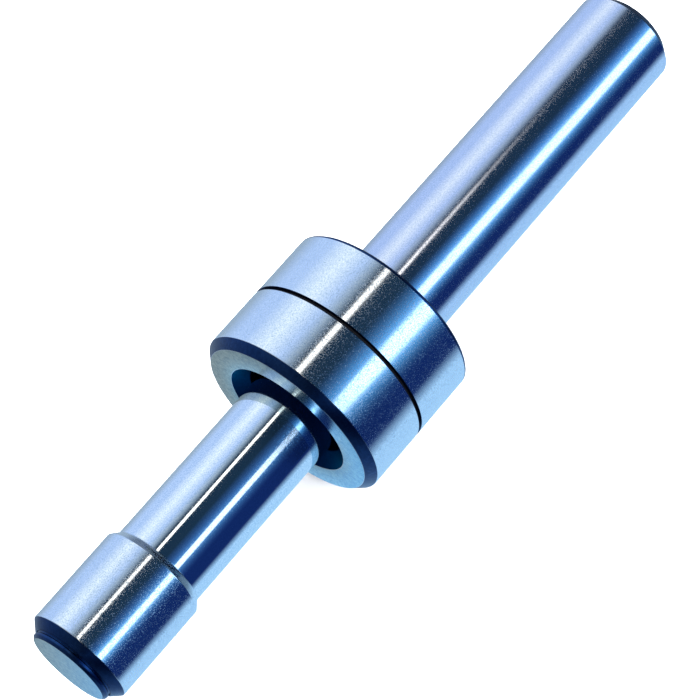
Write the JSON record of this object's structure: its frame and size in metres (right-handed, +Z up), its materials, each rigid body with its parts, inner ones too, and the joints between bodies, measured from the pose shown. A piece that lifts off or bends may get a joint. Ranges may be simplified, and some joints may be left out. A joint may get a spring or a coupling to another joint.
{
  "type": "mechanical edge finder",
  "caption": "Spindle-held edge finder: plain ground shank, two-part ball-bearing collar and a spring-hung probe whose sleeve floats sideways and turns freely.",
  "frame": {"origin": "on the common axis, at the shoulder where the shank leaves the collar", "axes": "+X along the shank to its free end, contact end towards -X, +Z up with the tool lying on its side"},
  "size_m": [0.0805, 0.019, 0.019],
  "materials": {
    "ground_steel": "fine cylindrical grinding, bluish hardened steel",
    "probe_steel": "fine cylindrical grinding",
    "sleeve_steel": "fine ground contact surface with dark bevels",
    "race_steel": "lapped bearing steel",
    "ball_steel": "polished",
    "cage_brass": "satin",
    "washer_bronze": "satin",
    "spring_steel": "drawn wire and turned pins",
    "plug_black": "black oxide",
    "seal_rubber": "matt"
  },
  "bodies": {
    "holder": {"shank": "ground_steel", "cap": "ground_steel", "parting_seal": "seal_rubber", "upper_race": "race_steel", "end_plug": "plug_black", "swivel_washer": "washer_bronze"},
    "swivel": {"lower_race": "race_steel", "swivel_pin": "spring_steel", "tension_spring": "spring_steel"},
    "cage": {"ball_cage": "cage_brass", "ball_1": "ball_steel", "ball_2": "ball_steel", "ball_3": "ball_steel", "ball_4": "ball_steel", "ball_5": "ball_steel", "ball_6": "ball_steel", "ball_7": "ball_steel", "ball_8": "ball_steel", "ball_9": "ball_steel"},
    "probe": {"probe": "probe_steel", "hook_pin": "ball_steel", "contact_sleeve": "sleeve_steel", "dust_washer": "race_steel"}
  },
  "joints": [
    {"name": "probe_spin", "type": "hinge", "parent": "holder", "child": "swivel", "pos_m": [0, 0, 0], "axis": [1, 0, 0], "continuous": true},
    {"name": "cage_spin", "type": "hinge", "parent": "holder", "child": "cage", "pos_m": [0, 0, 0], "axis": [1, 0, 0], "continuous": true},
    {"name": "probe_float", "type": "slide", "parent": "swivel", "child": "probe", "axis": [0, 0, 1], "range_m": [-0.0006, 0.0006], "deforming": ["tension_spring"]}
  ],
  "couplings": [
    {"joint": "cage_spin", "follows": "probe_spin", "ratio": 0.5}
  ]
}
